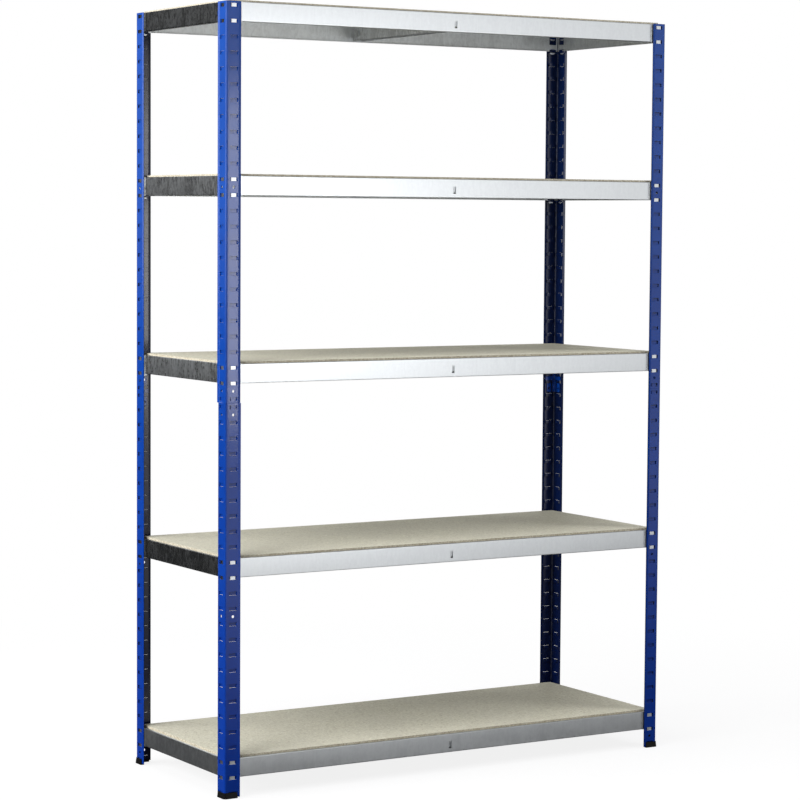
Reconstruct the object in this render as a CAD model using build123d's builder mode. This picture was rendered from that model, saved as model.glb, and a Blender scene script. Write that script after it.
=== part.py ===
"""Boltless steel shelving, five levels: perforated corner posts in two halves,
galvanised beams that hook onto pressed bridges in the posts, and chipboard decks.

Millimetres. Z is up, X is the width, and -Y is the front. The origin is on the
floor in the middle of the footprint.
"""

import math
import os

from build123d import *

os.makedirs("parts", exist_ok=True)

# ---- shared dimensions ----------------------------------------------------------
# Overall, over the outside faces of the posts
unit_width = 1210.0
unit_depth = 460.0

fit_gap = 0.15  # between pieces that fit together
cutter_half = 5.0  # reach of a round cutter to either side of a post's outside face

# Posts: rolled angle, two identical halves end to end in each corner
post_sheet = 1.5

# Slots: a window in each flange with a bridge of metal pressed inwards across it
slot_pitch = 35.0
slot_end = 9.0  # from the end of a half post to its first slot centre
slots_per_half = 26
slot_across = 20.0  # from the outer corner to the slot centre
slot_width = 19.0
slot_height = 8.0
bridge_depth = 3.0  # outside face of the post to the outside of the bridge

slot_heights = [slot_end + slot_pitch * k for k in range(slots_per_half)]
half_length = slot_heights[-1] + slot_end
corner_radius = 4.5  # outside the post's corner

# Round holes in both flanges, midway between two slots
hole_radius = 3.25
hole_heights = [slot_end + slot_pitch * (k + 0.5) for k in (0, 13)]


# ---- outlines -------------------------------------------------------------------
def l_plan(outer, inner, reach):
    """An L along +X and +Y, its outer and inner corners on the diagonal."""
    return [
        (outer, outer),
        (reach, outer),
        (reach, inner),
        (inner, inner),
        (inner, reach),
        (outer, reach),
    ]


def mirrored(half_plan, centre):
    """A closed outline from its half, given as (distance from the centre, depth)."""
    return [(centre + u, v) for u, v in half_plan] + [
        (centre - u, v) for u, v in half_plan[::-1]
    ]


def swapped(points):
    """The same outline on the other flange."""
    return [(y, x) for x, y in points]


# ---- half post ------------------------------------------------------------------
# Drawn with its outer corner on the Z axis and its flanges along +X and +Y. The
# edge strip of the +X flange leans inwards, the one of the +Y flange outwards.
post_flange = 38.0
edge_fold = 32.0  # where the edge strip of each flange starts to lean
edge_lean = 1.5  # how far a free edge leans
fold_radius = 6.5  # inside the fold
bridge_half_flat = 8.8
bridge_overlap = 1.4  # a bridge's ends run into the flange beside the window

lean_run = post_flange - edge_fold
lean_length = math.hypot(lean_run, edge_lean)
lean_across = post_sheet * edge_lean / lean_length
lean_through = post_sheet * lean_run / lean_length
fold_shift = post_sheet * (lean_length - lean_run) / edge_lean
inner_fold_x = edge_fold - fold_shift
inner_fold_y = edge_fold + fold_shift

angle_plan = [
    (0, 0),
    (edge_fold, 0),
    (post_flange, edge_lean),
    (post_flange - lean_across, edge_lean + lean_through),
    (inner_fold_x, post_sheet),
    (post_sheet, post_sheet),
    (post_sheet, inner_fold_y),
    (lean_through - edge_lean, post_flange + lean_across),
    (-edge_lean, post_flange),
    (0, edge_fold),
]
# Corner of the plan, radius
angle_roundings = [
    ((0, 0), corner_radius),
    ((post_sheet, post_sheet), corner_radius - post_sheet),
    ((edge_fold, 0), fold_radius + post_sheet),
    ((inner_fold_x, post_sheet), fold_radius),
    ((post_sheet, inner_fold_y), fold_radius + post_sheet),
    ((0, edge_fold), fold_radius),
]

# Plan of one bridge: down a ramp, across, and up a ramp, one sheet thick
window_half = slot_width / 2
ramp_run = window_half - bridge_half_flat
ramp_length = math.hypot(ramp_run, bridge_depth)
ramp_shift = post_sheet * (ramp_length - ramp_run) / bridge_depth
bridge_plan = mirrored(
    [
        (bridge_half_flat, bridge_depth),
        (window_half, 0),
        (window_half + bridge_overlap, 0),
        (window_half + bridge_overlap, post_sheet),
        (window_half + ramp_shift, post_sheet),
        (bridge_half_flat + ramp_shift, bridge_depth + post_sheet),
    ],
    slot_across,
)


def make_half_post():
    with BuildPart() as half_post:
        with BuildSketch() as angle_section:
            with BuildLine():
                Polyline(*angle_plan, close=True)
            make_face()
            for point, radius in angle_roundings:
                fillet(angle_section.vertices().sort_by_distance(point)[0], radius)
        extrude(amount=half_length)

        # Windows through both flanges
        with Locations(*[(slot_across, post_sheet / 2, z) for z in slot_heights]):
            Box(slot_width, post_sheet + 1, slot_height, mode=Mode.SUBTRACT)
        with Locations(*[(post_sheet / 2, slot_across, z) for z in slot_heights]):
            Box(post_sheet + 1, slot_width, slot_height, mode=Mode.SUBTRACT)

        # Bridges pressed inwards, open above and below
        with BuildSketch(*[Plane.XY.offset(z - slot_height / 2) for z in slot_heights]):
            for plan in (bridge_plan, swapped(bridge_plan)):
                with BuildLine():
                    Polyline(*plan, close=True)
                make_face()
        extrude(amount=slot_height)

        # Round holes through both flanges
        for plane in (Plane.XZ, Plane.YZ):
            with BuildSketch(plane.offset(-cutter_half)):
                with Locations(*[(slot_across, z) for z in hole_heights]):
                    Circle(hole_radius)
            extrude(amount=2 * cutter_half, mode=Mode.SUBTRACT)
    return half_post.part


# ---- connector inside each post's joint -----------------------------------------
# An angle whose fingers slide between the post's wall and the bridges either side
# of the joint. Drawn like the post, with the joint at Z = 0.
connector_sheet = 1.2
connector_face = post_sheet + fit_gap
connector_edge = 30.8
connector_half = 35.0  # half its height
connector_radius = 3.0  # outside the corner
finger_half = 6.2
finger_slot_half = 11.1  # from the slot centre to the far side of a finger's slot
joint_web_half = 4.8  # half the height of the solid band across the joint


def make_connector():
    inner_face = connector_face + connector_sheet
    with BuildPart() as connector:
        with BuildSketch(Plane.XY.offset(-connector_half)) as section:
            with BuildLine():
                Polyline(*l_plan(connector_face, inner_face, connector_edge), close=True)
            make_face()
            fillet(section.vertices().sort_by_distance((0, 0))[0], connector_radius)
            fillet(
                section.vertices().sort_by_distance((inner_face, inner_face))[0],
                connector_radius - connector_sheet,
            )
        extrude(amount=2 * connector_half)

        # Slots either side of each finger, above and below the joint
        cut_offset = (finger_half + finger_slot_half) / 2
        cut_width = finger_slot_half - finger_half
        cut_height = connector_half - joint_web_half
        cut_z = (connector_half + joint_web_half) / 2
        cut_depth = connector_sheet + 0.6
        sheet_middle = connector_face + connector_sheet / 2
        cut_places = [
            (slot_across + side * cut_offset, end * cut_z) for side in (-1, 1) for end in (-1, 1)
        ]
        with Locations(*[(across, sheet_middle, z) for across, z in cut_places]):
            Box(cut_width, cut_depth, cut_height, mode=Mode.SUBTRACT)
        with Locations(*[(sheet_middle, across, z) for across, z in cut_places]):
            Box(cut_depth, cut_width, cut_height, mode=Mode.SUBTRACT)

        # Round holes in line with the posts' end holes
        for plane in (Plane.XZ, Plane.YZ):
            with BuildSketch(plane.offset(-cutter_half)):
                with Locations((slot_across, hole_heights[0]), (slot_across, -hole_heights[0])):
                    Circle(hole_radius)
            extrude(amount=2 * cutter_half, mode=Mode.SUBTRACT)
    return connector.part


# ---- foot -----------------------------------------------------------------------
# An L-shaped shoe pushed onto the end of the post, as far as the edge strips. Its
# outer walls get thicker towards the floor.
foot_base = 2.5
foot_height = 13.5
foot_reach = 31.5  # along each flange, from the post's corner
foot_wall_top = 1.2
foot_wall_bottom = 3.0
foot_block = 160.0  # tapered block the shoe is cut from
foot_in = bridge_depth + post_sheet + 1.4  # inner face of the shoe's inner walls
foot_inner_radius = 1.5
inner_wall_drop = 0.4  # from the lowest bridges down to the top of the inner walls


def make_foot():
    foot_out = fit_gap + foot_wall_bottom
    taper = math.degrees(math.atan((foot_wall_bottom - foot_wall_top) / foot_height))
    with BuildPart() as foot:
        with BuildSketch() as floor_plan:
            with Locations((-foot_out + foot_block / 2, -foot_out + foot_block / 2)):
                Rectangle(foot_block, foot_block)
            fillet(
                floor_plan.vertices().sort_by_distance((-foot_out, -foot_out))[0],
                corner_radius + foot_out,
            )
        extrude(amount=foot_height, taper=taper)
        with BuildSketch() as shoe:
            with BuildLine():
                Polyline(*l_plan(-foot_out - 1, foot_in, foot_reach), close=True)
            make_face()
            fillet(shoe.vertices().sort_by_distance((foot_in, foot_in))[0], foot_inner_radius)
        extrude(amount=foot_height, mode=Mode.INTERSECT)

        # Pocket for the post
        pocket_in = post_sheet + fit_gap
        with BuildSketch(Plane.XY.offset(foot_base)) as pocket:
            with BuildLine():
                Polyline(*l_plan(-fit_gap, pocket_in, foot_reach + 1), close=True)
            make_face()
            fillet(pocket.vertices().sort_by_distance((-fit_gap, -fit_gap))[0], corner_radius)
            fillet(
                pocket.vertices().sort_by_distance((pocket_in, pocket_in))[0],
                corner_radius - post_sheet,
            )
        extrude(amount=foot_height, mode=Mode.SUBTRACT)

        # The inner walls stay below the post's lowest bridges
        inner_wall_top = foot_base + slot_end - slot_height / 2 - inner_wall_drop
        with BuildSketch(Plane.XY.offset(inner_wall_top)):
            with BuildLine():
                Polyline(*l_plan(post_sheet, foot_in + 1, foot_reach + 1), close=True)
            make_face()
        extrude(amount=foot_height, mode=Mode.SUBTRACT)
    return foot.part


# ---- beams ----------------------------------------------------------------------
# Galvanised sheet. Drawn along +X from one post's outer corner to the other's, with
# the outside face of the posts in the plane Y = 0 and the centre of the upper of the
# two slots it hooks into at Z = 0.
beam_sheet = 1.2
beam_height = 44.0
beam_top = 8.5
beam_bottom = beam_top - beam_height
tab_face = 3.15  # outside face of the post to the outside face of the end tab
web_face = bridge_depth + post_sheet + fit_gap  # to the outside face of the web
web_back = web_face + beam_sheet
tab_back = tab_face + beam_sheet
tab_end = 6.0  # from the post's corner to the end of the tab
joggle_start = 38.6  # the web steps inwards between the tab and the flanges
joggle_end = 40.1
joggle_back_shift = 0.5  # the step's inner face starts and ends this much nearer the post
flange_start = 41.5  # the folded edges stop short of the post
roll_width = 7.05  # rolled top edge
ledge_drop = 5.0  # the deck's seat, below the top of the beam
ledge_width = 13.8
lip_width = 12.0  # bottom edge
bend_radius = 1.6
ledge_edge = web_face + roll_width + ledge_width

tongue_half = 6.3
tongue_tip = 7.5  # below the slot centre
tongue_tip_radius = 2.6
tongue_face = post_sheet + fit_gap
tongue_back = tongue_face + beam_sheet
tongue_root = 6.9  # above the slot centre, where a tongue starts to step outwards
tab_hole_half = 10.9
tab_hole_bottom = 18.4

# Hooking point of the crossbar, in the middle of each long beam: a loop pressed
# inwards across a window. Heights are above the bottom of the beam.
loop_window_half = 3.4
loop_window = (9.5, 27.0)
loop_strip = (12.5, 24.0)
loop_depth = 7.35
loop_flat_half = 2.2
loop_root_half = 4.3
loop_ramp_width = 0.78  # thickness of the loop's ramps, along the beam

# Beam section as (Y, Z), from the bottom lip up the web to the ledge
fold_path = [
    (web_face + lip_width, beam_bottom),
    (web_face, beam_bottom),
    (web_face, beam_top),
    (web_face + roll_width, beam_top),
    (web_face + roll_width, beam_top - ledge_drop),
    (ledge_edge, beam_top - ledge_drop),
]
# Plan of the stepped web at the near end
end_plan = [
    (tab_end, tab_face),
    (joggle_start, tab_face),
    (joggle_end, web_face),
    (flange_start + 1, web_face),
    (flange_start + 1, web_back),
    (joggle_end - joggle_back_shift, web_back),
    (joggle_start - joggle_back_shift, tab_back),
    (tab_end, tab_back),
]
# Side view of a tongue as (Y, Z): it steps outwards from the tab and hangs down
tongue_profile = [
    (tab_face, tongue_root + 0.5),
    (tongue_face, tongue_root - 2.0),
    (tongue_face, -tongue_tip),
    (tongue_back, -tongue_tip),
    (tongue_back, tongue_root - 2.5),
    (tab_back, tongue_root),
]
# Half plan of the loop: distance from the middle of the beam, Y
loop_half_plan = [
    (loop_flat_half, loop_depth),
    (loop_window_half, web_face),
    (loop_root_half, web_face),
    (loop_root_half, web_back),
    (loop_window_half + loop_ramp_width, web_back),
    (loop_flat_half + loop_ramp_width, loop_depth + beam_sheet),
]
# Openings in a tab for bridges and tongues: half width, Z from, Z to. The tab's
# shoulders rest just above the bridges.
shoulder_z = slot_height / 2 + fit_gap
tab_cuts = [
    (tab_hole_half, -tab_hole_bottom, shoulder_z),
    (tongue_half, shoulder_z - 1, tongue_root),
    (tab_hole_half, beam_bottom - 1, shoulder_z - slot_pitch),
    (tongue_half, shoulder_z - slot_pitch - 1, tongue_root - slot_pitch),
]


def make_beam(length, hooking_point):
    """One beam, with tongues at both ends and, on a long beam, a loop for the crossbar."""
    slot_centres = (slot_across, length - slot_across)
    tip_heights = (-tongue_tip, -slot_pitch - tongue_tip)

    def is_tip_corner(edge, tolerance=0.05):
        place = edge.center()
        at_tip = any(abs(place.Z - z) < tolerance for z in tip_heights)
        at_side = any(abs(abs(place.X - x) - tongue_half) < tolerance for x in slot_centres)
        return at_tip and at_side

    with BuildPart() as beam:
        # Folded section between the posts
        with BuildSketch(Plane.YZ.offset(flange_start)):
            with BuildLine():
                FilletPolyline(*fold_path, radius=bend_radius)
                offset(amount=beam_sheet, side=Side.RIGHT)
            make_face()
        extrude(amount=length - 2 * flange_start)

        # Flat web carried on to both ends, stepping outwards to the end tabs
        with BuildSketch(Plane.XY.offset(beam_bottom)):
            for plan in (end_plan, [(length - x, y) for x, y in end_plan]):
                with BuildLine():
                    Polyline(*plan, close=True)
                make_face()
        extrude(amount=beam_height)

        # Holes that let the bridges through
        for centre in slot_centres:
            for half_width, low, high in tab_cuts:
                with Locations((centre, tab_face + beam_sheet / 2, (low + high) / 2)):
                    Box(2 * half_width, beam_sheet + 0.6, high - low, mode=Mode.SUBTRACT)

        # A tongue in each, the lower ones running on below the beam
        for centre in slot_centres:
            with BuildSketch(Plane.YZ.offset(centre - tongue_half)):
                for drop in (0, slot_pitch):
                    with BuildLine():
                        Polyline(*[(y, z - drop) for y, z in tongue_profile], close=True)
                    make_face()
            extrude(amount=2 * tongue_half)
        tip_corners = beam.edges().filter_by(Axis.Y).filter_by(is_tip_corner)
        fillet(tip_corners, tongue_tip_radius)

        if hooking_point:
            low, high = loop_window
            window_z = beam_bottom + (low + high) / 2
            with Locations((length / 2, web_face + beam_sheet / 2, window_z)):
                Box(2 * loop_window_half, beam_sheet + 1, high - low, mode=Mode.SUBTRACT)
            with BuildSketch(Plane.XY.offset(beam_bottom + loop_strip[0])):
                with BuildLine():
                    Polyline(*mirrored(loop_half_plan, length / 2), close=True)
                make_face()
            extrude(amount=loop_strip[1] - loop_strip[0])
    return beam.part


# ---- crossbar -------------------------------------------------------------------
# A channel, open below, from the front beam to the rear beam. Drawn along +Y with
# the outside face of the front posts in the plane Y = 0, and Z = 0 at the
# centre of the upper slot. Heights are above the bottom of the beams.
bar_half_width = 15.0
bar_sheet = 1.2
bar_bottom = 3.5
bar_top = 38.95
bar_lip = 6.0
bar_bend_radius = 2.0
bar_under_ledge = 37.45
ledge_clearance = 0.8  # the lowered ends run on this far past the ledge's edge
bar_middle = 20.0  # centre of the end plates and of the round holes
plate_sheet = 1.2
plate_width = 50.0  # over the ears of an end plate
plate_height = 30.0
ear_height = 17.0
notch_width = 9.8
notch_bottom = 3.5
notch_top = loop_strip[1] + fit_gap
bar_tongue_width = 3.0
bar_tongue_bottom = 13.0
bar_tongue_top = notch_top + 0.5  # runs into the plate above the notch
web_hole_radius = 8.0
web_hole_in = 25.0  # from the end of the bar

bar_start = web_back + fit_gap
ledge_reach = ledge_edge + ledge_clearance


def make_crossbar():
    low = beam_bottom + bar_bottom
    high = beam_bottom + bar_top
    with BuildPart() as crossbar:
        with BuildSketch(Plane.XZ.offset(-bar_start)):
            with BuildLine():
                FilletPolyline(
                    (-bar_half_width + bar_lip, low),
                    (-bar_half_width, low),
                    (-bar_half_width, high),
                    (bar_half_width, high),
                    (bar_half_width, low),
                    (bar_half_width - bar_lip, low),
                    radius=bar_bend_radius,
                )
                offset(amount=bar_sheet, side=Side.RIGHT)
            make_face()
        extrude(amount=-(unit_depth - 2 * bar_start))

        # The ends pass under the beams' ledges
        cut_height = 10
        for y in (ledge_reach / 2, unit_depth - ledge_reach / 2):
            with Locations((0, y, beam_bottom + bar_under_ledge + cut_height / 2)):
                Box(2 * bar_half_width + 2, ledge_reach, cut_height, mode=Mode.SUBTRACT)

        # End plates with rounded ears, notched for the beam's loop, with a tongue
        for y in (bar_start, unit_depth - bar_start - plate_sheet):
            with BuildSketch(Plane.XZ.offset(-y)):
                with Locations((0, beam_bottom + bar_middle)):
                    RectangleRounded(plate_width, ear_height, ear_height / 2 - 0.1)
                    Rectangle(2 * bar_half_width - 1, plate_height)
                with Locations((0, beam_bottom + (notch_bottom + notch_top) / 2)):
                    Rectangle(notch_width, notch_top - notch_bottom, mode=Mode.SUBTRACT)
                with Locations((0, beam_bottom + (bar_tongue_bottom + bar_tongue_top) / 2)):
                    Rectangle(bar_tongue_width, bar_tongue_top - bar_tongue_bottom)
            extrude(amount=-plate_sheet)

        # Round hole through both webs near each end
        hole_in = bar_start + web_hole_in
        with BuildSketch(Plane.YZ.offset(-bar_half_width - 2)):
            with Locations(*[(y, beam_bottom + bar_middle) for y in (hole_in, unit_depth - hole_in)]):
                Circle(web_hole_radius)
        extrude(amount=2 * bar_half_width + 4, mode=Mode.SUBTRACT)
    return crossbar.part


# ---- deck -----------------------------------------------------------------------
# Centred on the Z axis, its underside at Z = 0.
deck_thickness = 9.0
deck_inset = 13.7  # from the outside face of the posts


def make_deck():
    with BuildPart() as deck:
        Box(
            unit_width - 2 * deck_inset,
            unit_depth - 2 * deck_inset,
            deck_thickness,
            align=(Align.CENTER, Align.CENTER, Align.MIN),
        )
    return deck.part


# ---- placing the pieces ---------------------------------------------------------
def place(name, shape, position, turn=0):
    """Turn a shape about Z, move it to its position and write it out."""
    with BuildPart() as piece:
        with Locations(Location(position, (0, 0, turn))):
            add(shape)
    piece.part.label = name
    export_step(piece.part, f"parts/{name}.step")


half_x = unit_width / 2
half_y = unit_depth / 2
post_bottom = foot_base
seam = post_bottom + half_length
upper_bottom = seam + 0.1  # a hairline gap between the two halves

# Centre height of the upper slot that each level hooks into, bottom level first:
# two levels on the lower halves, three on the upper ones
level_heights = [post_bottom + slot_heights[k] for k in (2, 15)] + [
    upper_bottom + slot_heights[k] for k in (2, 14, 25)
]

half_post = make_half_post()
# Turned end for end, a half's two flanges change places
turned_half = half_post.rotate(Axis((0, 0, 0), (1, 1, 0)), 180)
connector = make_connector()
foot = make_foot()
long_beam = make_beam(unit_width, hooking_point=True)
short_beam = make_beam(unit_depth, hooking_point=False)
crossbar = make_crossbar()
deck = make_deck()

# The corner pieces and beams go round the unit in quarter turns. Each row: corner,
# the side whose beam starts there, that beam, x, y, turn.
stations = [
    ("front_left", "front", long_beam, -half_x, -half_y, 0),
    ("front_right", "right", short_beam, half_x, -half_y, 90),
    ("rear_right", "rear", long_beam, half_x, half_y, 180),
    ("rear_left", "left", short_beam, -half_x, half_y, 270),
]

for corner, _, _, x, y, turn in stations:
    place(f"post_{corner}_upper", half_post, (x, y, upper_bottom), turn)
    # One lower half stands the other way up
    if corner == "front_left":
        place(f"post_{corner}_lower", turned_half, (x, y, seam), turn)
    else:
        place(f"post_{corner}_lower", half_post, (x, y, post_bottom), turn)
    place(f"post_connector_{corner}", connector, (x, y, seam), turn)
    place(f"foot_{corner}", foot, (x, y, 0), turn)

for level, height in enumerate(level_heights, start=1):
    for _, side, beam, x, y, turn in stations:
        place(f"beam_{side}_level_{level}", beam, (x, y, height), turn)
    place(f"crossbar_level_{level}", crossbar, (0, -half_y, height))
    place(f"deck_level_{level}", deck, (0, 0, height + beam_top - ledge_drop + fit_gap))
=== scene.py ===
import math

import bpy
from mathutils import Matrix, Vector


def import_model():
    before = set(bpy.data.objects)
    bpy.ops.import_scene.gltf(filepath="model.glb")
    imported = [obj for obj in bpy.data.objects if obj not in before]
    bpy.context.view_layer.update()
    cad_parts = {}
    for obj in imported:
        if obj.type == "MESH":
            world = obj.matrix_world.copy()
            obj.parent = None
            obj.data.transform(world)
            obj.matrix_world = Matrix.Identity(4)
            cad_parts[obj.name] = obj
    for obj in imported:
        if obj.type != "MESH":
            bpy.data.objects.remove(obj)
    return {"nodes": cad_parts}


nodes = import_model()["nodes"]
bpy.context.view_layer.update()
scene = bpy.context.scene

WELD_DISTANCE = 0.00001
SMOOTH_ANGLE = math.radians(30)
FLOOR_SIZE = 60
WHITE = (1.0, 1.0, 1.0, 1.0)


# ---------------------------------------------------------------- node helpers
def rgba(r, g, b):
    return (r, g, b, 1.0)


class Tree:
    """Adds and links nodes. An input may be a value, a socket, or a node (its first output)."""

    def __init__(self, tree):
        self.tree = tree

    def add(self, kind, inputs=None, **props):
        node = self.tree.nodes.new(kind)
        for key, value in props.items():
            setattr(node, key, value)
        for key, value in (inputs or {}).items():
            self.feed(node.inputs[key], value)
        return node

    def feed(self, socket, value):
        if isinstance(value, bpy.types.NodeSocket):
            self.tree.links.new(value, socket)
        elif isinstance(value, bpy.types.Node):
            self.tree.links.new(value.outputs[0], socket)
        else:
            socket.default_value = value

    def math(self, operation, a, b=0.0):
        return self.add("ShaderNodeMath", {0: a, 1: b}, operation=operation).outputs[0]

    def weighted_sum(self, *terms):
        """Adds up (value, weight) pairs."""
        total = None
        for value, weight in terms:
            part = self.math("MULTIPLY", value, weight)
            total = part if total is None else self.math("ADD", total, part)
        return total

    def ramp(self, value, between, to=(0.0, 1.0), smooth=True):
        """Maps the range `between` onto the range `to`, clamped at both ends."""
        node = self.add(
            "ShaderNodeMapRange",
            {
                "Value": value,
                "From Min": between[0],
                "From Max": between[1],
                "To Min": to[0],
                "To Max": to[1],
            },
            clamp=True,
            interpolation_type="SMOOTHSTEP" if smooth else "LINEAR",
        )
        return node.outputs[0]

    def mix(self, amount, a, b):
        """Colour a, going over to colour b as the amount goes from 0 to 1."""
        # of the node's many sockets, 6, 7 and output 2 are the colours
        return self.add("ShaderNodeMix", {0: amount, 6: a, 7: b}, data_type="RGBA").outputs[2]

    def mix_shader(self, amount, a, b):
        return self.add("ShaderNodeMixShader", {0: amount, 1: a, 2: b})

    def coords(self, scale=(1, 1, 1), offset=(0, 0, 0)):
        place = self.add("ShaderNodeTexCoord").outputs["Object"]
        inputs = {"Vector": place, "Scale": scale, "Location": offset}
        return self.add("ShaderNodeMapping", inputs).outputs[0]

    def noise(self, place, scale, detail=3.0, rough=0.55, distortion=0.0):
        node = self.add(
            "ShaderNodeTexNoise",
            {
                "Vector": place,
                "Scale": scale,
                "Detail": detail,
                "Roughness": rough,
                "Distortion": distortion,
            },
        )
        return node.outputs["Fac"]

    def cells(self, place, scale):
        """Three random values per Voronoi cell, as the outputs of a colour separation."""
        cell = self.add("ShaderNodeTexVoronoi", {"Vector": place, "Scale": scale})
        return self.add("ShaderNodeSeparateColor", {0: cell.outputs["Color"]}).outputs

    def dot(self, a, b):
        node = self.add("ShaderNodeVectorMath", {0: a, 1: b}, operation="DOT_PRODUCT")
        return node.outputs["Value"]

    def z_of(self, vector):
        return self.add("ShaderNodeSeparateXYZ", {0: vector}).outputs["Z"]

    def bevel(self, radius):
        """Normals rounded over the sharp edges."""
        return self.add("ShaderNodeBevel", {"Radius": radius}, samples=4)

    def bump(self, height, strength, distance, normal=None):
        inputs = {"Strength": strength, "Distance": distance, "Height": height}
        if normal:
            inputs["Normal"] = normal
        return self.add("ShaderNodeBump", inputs)

    def emission(self, strength):
        return self.add("ShaderNodeEmission", {"Color": WHITE, "Strength": strength})

    def principled(self, inputs):
        return self.add("ShaderNodeBsdfPrincipled", inputs)

    def surface(self, shader):
        self.add("ShaderNodeOutputMaterial", {"Surface": shader})


def new_material(name):
    mat = bpy.data.materials.new(name)
    mat.use_nodes = True
    mat.node_tree.nodes.clear()
    return mat, Tree(mat.node_tree)


# ---------------------------------------------------------------- materials
def blue_powder_coat(name, seed, inwards=None):
    """Semi-gloss powder coat: orange peel, a deeper tone towards the floor that is painted shade,
    rubbed edges.

    The faces that look inwards, into the angle of a post, are darkened to near black as painted
    shade.
    """
    mat, t = new_material(name)
    place = t.coords(offset=(seed * 3.1, seed * 1.7, seed * 0.9))
    cloud = t.noise(place, scale=9.0)
    fine = t.noise(place, scale=420.0, detail=2.0, rough=0.6)
    peel = t.noise(place, scale=750.0, detail=2.0, rough=0.5)
    speck = t.noise(place, scale=2600.0, detail=1.0)

    # cloudy blue; the deep tone near the floor is painted shade and the bright tone higher up is
    # painted light
    clouded = t.ramp(cloud, between=(0.35, 0.65))
    shaded_low_tone = t.mix(clouded, rgba(0.0020, 0.043, 0.39), rgba(0.0026, 0.052, 0.43))
    clouded = t.ramp(cloud, between=(0.35, 0.65))
    bright = t.mix(clouded, rgba(0.0016, 0.070, 0.42), rgba(0.0024, 0.082, 0.47))
    # painted light and shade: the blue brightens with height
    painted_light_by_height = t.ramp(t.z_of(t.coords()), between=(0.1, 1.5), smooth=False)
    tone = t.mix(painted_light_by_height, shaded_low_tone, bright)
    flecks = t.ramp(fine, between=(0.45, 0.75), to=(0.0, 0.25))
    tone = t.mix(flecks, tone, rgba(0.006, 0.072, 0.49))

    # rubbed paint on sharp edges, where the bevelled normal leaves the plain one
    bevel = t.bevel(radius=0.0007)
    normal = t.add("ShaderNodeNewGeometry").outputs["Normal"]
    edge = t.ramp(t.dot(bevel, normal), between=(0.995, 0.93))
    rubbed = t.ramp(t.noise(place, scale=160.0), between=(0.50, 0.68))
    worn = t.math("MULTIPLY", edge, rubbed)
    tone = t.mix(t.math("MULTIPLY", worn, 0.35), tone, rgba(0.10, 0.19, 0.46))

    if inwards:
        # painted shade: the faces inside the angle of a post go over to near black
        inner_painted_shade = t.ramp(t.dot(normal, inwards), between=(0.45, 0.75), to=(0.0, 0.90))
        tone = t.mix(inner_painted_shade, tone, rgba(0.004, 0.008, 0.035))

    height = t.math("ADD", peel, t.math("MULTIPLY", speck, 0.35))
    t.surface(t.principled({
        "Base Color": tone,
        "Roughness": t.ramp(cloud, between=(0.3, 0.7), to=(0.13, 0.17)),
        "IOR": 1.5,
        "Normal": t.bump(height, strength=0.35, distance=0.00006, normal=bevel),
    }))
    return mat


def galvanised(seed, low, high, rough, contrast=1.0, metal=1.0):
    """Galvanised sheet: cloudy spangle drawn out up and down, dull and bright patches, fine lines.

    low and high are the reflectances of the dull and bright patches, rough their roughnesses.
    contrast scales the bump. metal under 1 leaves some of the chalky, matt look of zinc.
    """
    mat, t = new_material(f"galvanised_{seed}")
    shift = (seed * 2.3, seed * 4.1, seed * 1.3)
    drawn = t.coords(scale=(1.0, 1.0, 0.30), offset=shift)
    half_drawn = t.coords(scale=(1.0, 1.0, 0.5), offset=shift)
    plain = t.coords(offset=(seed * 1.9, seed * 0.7, seed * 2.9))
    flattened = t.coords(scale=(3.0, 3.0, 420.0), offset=(seed, seed, seed))

    patch = t.noise(drawn, scale=62.0, detail=4.0, rough=0.58, distortion=1.6)
    small = t.noise(drawn, scale=210.0, rough=0.6, distortion=0.8)
    broad = t.noise(half_drawn, scale=14.0, rough=0.5, distortion=0.6)
    cell = t.cells(plain, scale=165.0)[0]
    lines = t.noise(flattened, scale=4.0, detail=2.0)
    mottle = t.weighted_sum((patch, 0.50), (small, 0.20), (broad, 0.20), (cell, 0.10))

    # dull patches lean to blue, bright ones a little less
    dull = rgba(low * 0.965, low, low * 1.03)
    bright = rgba(high * 0.96, high * 0.995, high * 1.02)
    patches = (0.37, 0.62)
    height = t.weighted_sum((mottle, 1.3), (lines, 0.12))
    t.surface(t.principled({
        "Base Color": t.mix(t.ramp(mottle, between=patches), dull, bright),
        "Metallic": metal,
        "Roughness": t.ramp(mottle, between=patches, to=rough),
        "Normal": t.bump(
            height, strength=0.5 * contrast, distance=0.0001, normal=t.bevel(radius=0.0005)
        ),
    }))
    return mat


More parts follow.
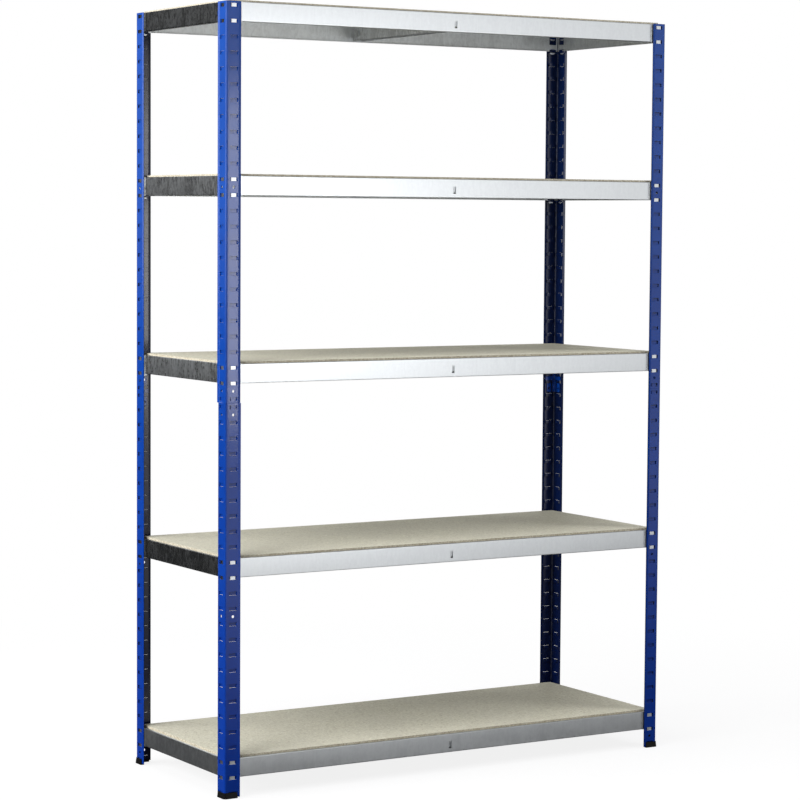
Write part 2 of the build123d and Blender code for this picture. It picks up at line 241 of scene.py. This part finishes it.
def chipboard(seed):
    """Raw sanded chipboard: flat flakes on the faces, coarse chips and pores on the cut edges."""
    mat, t = new_material(f"chipboard_{seed}")
    shift = (seed * 1.37, seed * 2.11, seed * 0.53)
    plain = t.coords(offset=shift)
    along_x = t.cells(t.coords(scale=(1.0, 2.6, 2.0), offset=shift), scale=210.0)
    along_y = t.cells(t.coords(scale=(2.4, 1.0, 2.0), offset=shift), scale=160.0)
    dust = t.noise(plain, scale=900.0, rough=0.7)
    broad = t.noise(plain, scale=6.0, detail=4.0, rough=0.6)
    flake = t.weighted_sum((along_x[0], 0.5), (along_y[1], 0.5))

    # upper and lower faces: flakes, a few dark and pale chips, then dust and broad patches
    flaked = t.ramp(flake, between=(0.15, 0.85), smooth=False)
    face = t.mix(flaked, rgba(0.52, 0.500, 0.39), rgba(0.71, 0.685, 0.555))
    dark_chip = t.ramp(along_x[2], between=(0.90, 0.96))
    face = t.mix(t.math("MULTIPLY", dark_chip, 0.55), face, rgba(0.24, 0.17, 0.10))
    pale_chip = t.ramp(along_y[2], between=(0.90, 0.96))
    face = t.mix(t.math("MULTIPLY", pale_chip, 0.5), face, rgba(0.82, 0.80, 0.70))
    dusty = t.ramp(dust, between=(0.3, 0.7), to=(0.0, 0.22))
    face = t.mix(dusty, face, rgba(0.70, 0.69, 0.61))
    patchy = t.ramp(broad, between=(0.35, 0.65), to=(0.0, 0.25))
    face = t.mix(patchy, face, rgba(0.55, 0.53, 0.45))

    # cut edges: coarse chips with dark pores
    chip = t.cells(plain, scale=330.0)[0]
    edge = t.mix(chip, rgba(0.50, 0.44, 0.32), rgba(0.74, 0.70, 0.58))
    pores = t.ramp(t.noise(plain, scale=520.0, detail=2.0, rough=0.7), between=(0.36, 0.30))
    edge = t.mix(t.math("MULTIPLY", pores, 0.8), edge, rgba(0.12, 0.08, 0.045))

    normal_z = t.z_of(t.add("ShaderNodeNewGeometry").outputs["True Normal"])
    level = t.ramp(t.math("ABSOLUTE", normal_z), between=(0.5, 0.8))
    edge_pores = t.math("MULTIPLY", pores, t.math("SUBTRACT", 1.0, level))
    relief = t.weighted_sum((flake, 0.5), (dust, 0.5))
    height = t.math("SUBTRACT", relief, edge_pores)
    t.surface(t.principled({
        "Base Color": t.mix(level, edge, face),
        "Roughness": t.ramp(flake, between=(0.2, 0.8), to=(0.62, 0.78)),
        "Specular IOR Level": 0.35,
        "Normal": t.bump(height, strength=0.5, distance=0.00018),
    }))
    return mat


def black_plastic():
    """Moulded black plastic with a fine spark-eroded grain and scuffs."""
    mat, t = new_material("black_plastic")
    grain = t.noise(t.coords(), scale=1500.0, detail=2.0, rough=0.6)
    scratches = t.noise(t.coords(scale=(1, 1, 6)), scale=60.0, detail=4.0, rough=0.7)
    scuff = t.math("MULTIPLY", t.ramp(scratches, between=(0.58, 0.72)), 0.5)
    t.surface(t.principled({
        "Base Color": t.mix(scuff, rgba(0.0022, 0.0022, 0.0024), rgba(0.014, 0.014, 0.015)),
        "Roughness": t.ramp(grain, between=(0.3, 0.7), to=(0.48, 0.66)),
        "Specular IOR Level": 0.3,
        "Normal": t.bump(grain, strength=0.4, distance=0.00008),
    }))
    return mat


# Each left beam, by its number, gets its own brightness of one galvanised sheet: painted light and
# shade standing in for what each level reflects; most are dull and mottled.
LEFT_SHEET_PAINTED_LIGHT = {
    1: dict(low=0.82, high=0.98, rough=(0.30, 0.36), contrast=0.5),
    2: dict(low=0.18, high=0.46, rough=(0.22, 0.30), contrast=1.5),
    3: dict(low=0.44, high=0.86, rough=(0.26, 0.34), contrast=1.4),
    4: dict(low=0.22, high=0.54, rough=(0.26, 0.34), contrast=1.5),
    5: dict(low=0.05, high=0.20, rough=(0.22, 0.30), contrast=1.5),
}
FRONT_SHEET = dict(low=0.765, high=0.82, rough=(0.37, 0.43), contrast=0.3)
CROSSBAR_SHEET = dict(low=0.60, high=0.90, rough=(0.34, 0.46), contrast=1.0, metal=0.66)
OTHER_SHEET = dict(low=0.70, high=0.84, rough=(0.36, 0.48), contrast=0.6, metal=0.86)

plastic = black_plastic()
connector_coat = blue_powder_coat("blue_connector", seed=77)


def material_for(name, seed):
    """The material of a piece, chosen by its name."""
    if name.startswith("post_connector"):
        return connector_coat
    if name.startswith("post"):
        inwards = (1.0 if "left" in name else -1.0, 1.0 if "front" in name else -1.0, 0.0)
        return blue_powder_coat(f"blue_powder_coat_{seed}", seed, inwards)
    if name.startswith("foot"):
        return plastic
    if name.startswith("deck"):
        return chipboard(int(name[-1]))
    if name.startswith("beam_left"):
        # painted light and shade: a left beam's sheet is lighter or darker by its level
        return galvanised(seed, **LEFT_SHEET_PAINTED_LIGHT[int(name[-1])])
    if name.startswith("beam_front"):
        return galvanised(seed, **FRONT_SHEET)
    if name.startswith("crossbar"):
        return galvanised(seed, **CROSSBAR_SHEET)
    return galvanised(seed, **OTHER_SHEET)


# ---------------------------------------------------------------- shading of the CAD meshes
def smooth_group():
    """Welds the seams of a mesh, then shades it smooth except across its sharper edges."""
    group = bpy.data.node_groups.new("weld_and_smooth", "GeometryNodeTree")
    for direction in ("INPUT", "OUTPUT"):
        group.interface.new_socket(
            "Geometry", in_out=direction, socket_type="NodeSocketGeometry"
        )
    t = Tree(group)
    welded = t.add(
        "GeometryNodeMergeByDistance",
        {"Geometry": t.add("NodeGroupInput"), "Distance": WELD_DISTANCE},
    )
    faces = t.add("GeometryNodeSetShadeSmooth", {"Geometry": welded}, domain="FACE")
    angle = t.add("GeometryNodeInputMeshEdgeAngle").outputs["Unsigned Angle"]
    gentle = t.add(
        "FunctionNodeCompare", {0: angle, 1: SMOOTH_ANGLE}, data_type="FLOAT", operation="LESS_THAN"
    )
    edges = t.add(
        "GeometryNodeSetShadeSmooth", {"Geometry": faces, "Shade Smooth": gentle}, domain="EDGE"
    )
    t.add("NodeGroupOutput", {0: edges})
    return group


smooth = smooth_group()
for number, (name, obj) in enumerate(nodes.items(), start=1):
    obj.data.materials.clear()
    obj.data.materials.append(material_for(name, number))
    obj.modifiers.new("weld_and_smooth", "NODES").node_group = smooth


# ---------------------------------------------------------------- studio
def glow(t, direction):
    """How bright the studio is in a direction, as shiny surfaces see it."""
    front = t.ramp(
        t.dot(direction, (0.26, -0.966, 0.0)), between=(0.55, 1.0), to=(0.0, 0.98), smooth=False
    )
    back = t.ramp(t.dot(direction, (0.60, 0.80, 0.0)), between=(0.35, 0.95), to=(0.0, 0.95))
    left = t.ramp(
        t.dot(direction, (-0.94, 0.34, 0.0)), between=(0.50, 1.0), to=(0.0, 0.16), smooth=False
    )
    # the glow fades out towards the zenith, down to an even base
    low = t.ramp(t.dot(direction, (0.0, 0.0, 1.0)), between=(0.78, 0.35))
    sides = t.math("ADD", left, t.math("ADD", front, back))
    return t.math("ADD", 0.10, t.math("MULTIPLY", low, sides))


def floor_material():
    """Pale floor that takes shadows near the unit and runs out to pure white."""
    mat, t = new_material("pale_floor")
    geometry = t.add("ShaderNodeNewGeometry").outputs
    position = geometry["Position"]
    path = t.add("ShaderNodeLightPath").outputs

    # what the camera sees
    matt = t.principled({
        "Base Color": rgba(0.20, 0.20, 0.205),
        "Roughness": 0.9,
        "Specular IOR Level": 0.0,
    })
    near = t.add("ShaderNodeAddShader", {0: matt, 1: t.emission(strength=0.86)})
    distance = t.add("ShaderNodeVectorMath", {0: position}, operation="LENGTH").outputs["Value"]
    seen = t.mix_shader(t.ramp(distance, between=(0.9, 2.4)), near, t.emission(strength=1.0))

    # what shiny surfaces see: the glow of the studio, brighter further out in front
    unit = t.add("ShaderNodeVectorMath", {0: position}, operation="NORMALIZE").outputs[0]
    ahead = t.dot(position, (-0.5, -1.0, 0.0))
    ahead = t.ramp(ahead, between=(0.45, 3.0), to=(0.05, 1.0), smooth=False)
    shine = t.math("ADD", 0.04, t.math("MULTIPLY", glow(t, unit), ahead))

    # all other light bounces off a dim floor
    dim = t.add("ShaderNodeBsdfDiffuse", {"Color": rgba(0.22, 0.23, 0.24)})
    bounced = t.mix_shader(path["Is Glossy Ray"], dim, t.emission(strength=shine))
    above = t.mix_shader(path["Is Camera Ray"], bounced, seen)

    # seen from below, the floor is clear, so that the underside can be looked at
    clear = t.add("ShaderNodeBsdfTransparent")
    t.surface(t.mix_shader(geometry["Backfacing"], above, clear))
    return mat


def build_world():
    """White to the camera, the studio glow to shiny surfaces, a dim room to the rest."""
    world = bpy.data.worlds.new("studio")
    scene.world = world
    world.use_nodes = True
    world.node_tree.nodes.clear()
    t = Tree(world.node_tree)

    def background(strength):
        return t.add("ShaderNodeBackground", {"Color": WHITE, "Strength": strength})

    direction = t.add("ShaderNodeTexCoord").outputs["Generated"]
    path = t.add("ShaderNodeLightPath").outputs
    room = background(strength=0.15)
    shine = background(strength=glow(t, direction))
    bounced = t.mix_shader(path["Is Glossy Ray"], room, shine)
    seen = t.mix_shader(path["Is Camera Ray"], bounced, background(strength=1.0))
    t.add("ShaderNodeOutputWorld", {"Surface": seen})


bpy.ops.mesh.primitive_plane_add(size=FLOOR_SIZE, location=(0, 0, 0))
floor = bpy.context.object
floor.name = "studio_floor"
floor.data.materials.append(floor_material())
build_world()


# ---------------------------------------------------------------- lights
def add_light(name, kind, energy, place, aim):
    """A light turned from a place towards an aim; the caller sets its location."""
    obj = bpy.data.objects.new(name, bpy.data.lights.new(name, kind))
    scene.collection.objects.link(obj)
    obj.data.energy = energy
    obj.rotation_euler = (Vector(aim) - Vector(place)).to_track_quat("-Z", "Y").to_euler()
    return obj


def area(name, place, aim, watts, size, size_y=None, diffuse=True, glossy=True):
    obj = add_light(name, "AREA", watts, place, aim)
    obj.location = place
    obj.data.size = size
    if size_y:
        obj.data.shape = "RECTANGLE"
        obj.data.size_y = size_y
    obj.visible_camera = False
    obj.visible_diffuse = diffuse
    obj.visible_glossy = glossy


def deck_fill():
    """Light let in between the shelves, onto the decks only, with nothing in its way."""
    decks = bpy.data.collections.new("decks")
    for name, obj in nodes.items():
        if name.startswith("deck"):
            decks.objects.link(obj)
    sun = add_light("deck_fill", "SUN", energy=1.4, place=(-1.0, -0.45, 1.2), aim=(0, 0, 0))
    sun.data.angle = 0.6
    sun.light_linking.receiver_collection = decks
    sun.light_linking.blocker_collection = bpy.data.collections.new("no_blockers")
    sun.visible_glossy = False


# the left box lights matt surfaces, and its twin is what shows in the shiny ones
left = dict(aim=(0.0, 0.25, 2.4), size=5.9, size_y=3.2)
area("left_box", place=(-4.2, 0.25, 2.6), watts=250.0, glossy=False, **left)
area("left_shine", place=(-4.0, 0.25, 2.6), watts=100.0, diffuse=False, **left)
area("front_shine", place=(0.85, -2.95, 1.18), aim=(-0.55, -0.2, 1.18), watts=8.0,
     size=0.45, size_y=1.1, diffuse=False)
area("right_fill", place=(2.3, -2.5, 3.0), aim=(0.3, 0.0, 1.3), watts=34.0, size=1.2,
     glossy=False)
area("top_fill", place=(-0.3, -0.2, 4.6), aim=(0.0, 0.0, 0.0), watts=60.0, size=2.5,
     glossy=False)
deck_fill()


# ---------------------------------------------------------------- camera
CAMERA_PLACE = (-3.30749, -5.41978, 1.31243)
YAW = math.radians(31.3235)  # from +Y towards +X
PITCH = math.radians(3.9827)  # downwards
ROLL = math.radians(0.3877)
SENSOR_WIDTH = 36.0  # mm
FOCAL_LENGTH = 117.9801  # mm


def add_camera():
    forward = Vector((
        math.sin(YAW) * math.cos(PITCH),
        math.cos(YAW) * math.cos(PITCH),
        -math.sin(PITCH),
    ))
    right = Vector((math.cos(YAW), -math.sin(YAW), 0.0))
    up = right.cross(forward)
    rolled_right = math.cos(ROLL) * right + math.sin(ROLL) * up
    rolled_up = -math.sin(ROLL) * right + math.cos(ROLL) * up
    data = bpy.data.cameras.new("camera")
    data.sensor_width = SENSOR_WIDTH
    data.lens = FOCAL_LENGTH
    data.clip_start = 0.05
    data.clip_end = 200.0
    camera = bpy.data.objects.new("camera", data)
    scene.collection.objects.link(camera)
    pose = Matrix((rolled_right, rolled_up, -forward)).transposed().to_4x4()
    pose.translation = Vector(CAMERA_PLACE)
    camera.matrix_world = pose
    scene.camera = camera


add_camera()

scene.view_settings.view_transform = "Standard"
scene.view_settings.look = "None"
scene.view_settings.exposure = 0.0
scene.view_settings.gamma = 1.0
